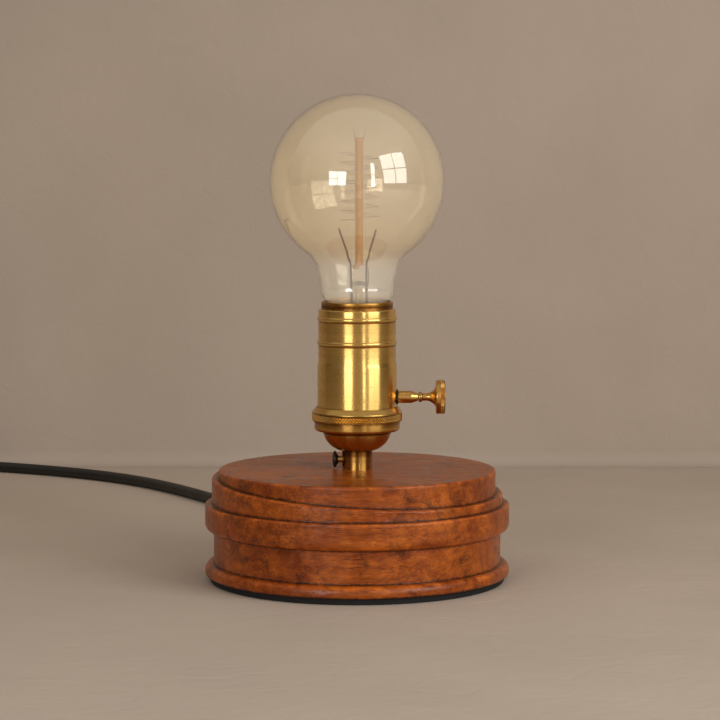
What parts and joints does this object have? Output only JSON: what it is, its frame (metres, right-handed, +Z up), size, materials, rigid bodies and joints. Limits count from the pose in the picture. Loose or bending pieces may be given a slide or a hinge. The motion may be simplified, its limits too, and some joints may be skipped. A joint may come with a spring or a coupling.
{
  "type": "table lamp",
  "caption": "Bare bulb table lamp: a stepped round wooden base, a brass lampholder with a turn-knob switch, and a clear globe bulb with a visible filament.",
  "frame": {"origin": "centre of the round base's underside, on the table", "axes": "+Z up along the lamp's axis, +X along the switch knob's shaft, +Y to the back, where the cord leaves"},
  "size_m": [0.4802, 0.5428, 0.2646],
  "materials": {
    "pad": "matte",
    "wood": "waxed, worn gloss",
    "zinc": "zinc plated",
    "brass": "polished",
    "aged_brass": "darkened",
    "black_metal": "satin black",
    "ceramic": "white glaze",
    "fibre": "plain",
    "black_plastic": "satin",
    "cord_cover": "satin flexible PVC",
    "contact_brass": "bright",
    "bulb_glass": "clear, amber tinted globe",
    "clear_glass": "clear",
    "amber_glass": "amber rod",
    "insulator": "black vitrite",
    "lead_metal": "dark red-brown oxide",
    "hook_metal": "molybdenum wire",
    "filament_carbon": "carbon filament",
    "brown_wire": "brown PVC",
    "blue_wire": "blue PVC",
    "nickel": "nickel plated"
  },
  "bodies": {
    "root": {"base_pad": "pad", "wood_base": "wood", "threaded_pipe": "zinc", "pipe_washer": "zinc", "pipe_nut": "zinc", "socket_cap": "aged_brass", "knurled_ring": "brass", "socket_shell": "brass", "shell_rim": "aged_brass", "insulating_liner": "fibre", "socket_body": "ceramic", "terminal_screws": "contact_brass", "housing_screws": "zinc", "screw_shell": "contact_brass", "centre_contact": "contact_brass", "switch_housing": "black_plastic", "switch_cover": "black_plastic", "stem_sleeve": "brass", "stem_washer": "black_plastic", "inner_cord": "cord_cover", "cord_bush": "black_plastic", "cord_collar": "black_plastic", "live_wire": "brown_wire", "neutral_wire": "blue_wire", "power_cord": "cord_cover", "cord_coil": "cord_cover", "cord_tail": "cord_cover", "cord_tie": "black_plastic", "plug_body": "black_plastic", "plug_pins": "nickel"},
    "switch": {"switch_rotor": "black_plastic", "switch_shaft": "contact_brass", "switch_knob": "brass"},
    "lock_shank": {"lock_shank": "brass"},
    "lock_head": {"lock_head": "black_metal"},
    "bulb_tip": {"bulb_contact": "nickel"},
    "bulb": {"bulb_glass": "bulb_glass", "bulb_cap": "contact_brass", "cap_insulator": "insulator", "glass_stem": "clear_glass", "exhaust_tube": "clear_glass", "support_rod": "amber_glass", "lead_wires": "lead_metal", "hook_wires": "hook_metal", "filament": "filament_carbon"}
  },
  "joints": [
    {"name": "switch_turn", "type": "hinge", "parent": "root", "child": "switch", "pos_m": [0, 0, 0.1], "axis": [1, 0, 0], "continuous": true},
    {"name": "bulb_rise", "type": "slide", "parent": "root", "child": "bulb_tip", "axis": [0, 0, 1], "range_m": [0, 0.0218]},
    {"name": "bulb_turn", "type": "hinge", "parent": "bulb_tip", "child": "bulb", "pos_m": [0, 0, 0.122], "axis": [0, 0, 1], "range_deg": [0, 2160]},
    {"name": "lock_slide", "type": "slide", "parent": "root", "child": "lock_shank", "axis": [-1, 0, 0], "range_m": [0, 0.0028]},
    {"name": "lock_turn", "type": "hinge", "parent": "lock_shank", "child": "lock_head", "pos_m": [-0.0103, 0, 0.0659], "axis": [-1, 0, 0], "range_deg": [0, 1440]}
  ],
  "couplings": [
    {"joint": "bulb_rise", "follows": "bulb_turn", "m_per_rad": 0.00057757},
    {"joint": "lock_turn", "follows": "lock_slide", "rad_per_m": 8976}
  ]
}
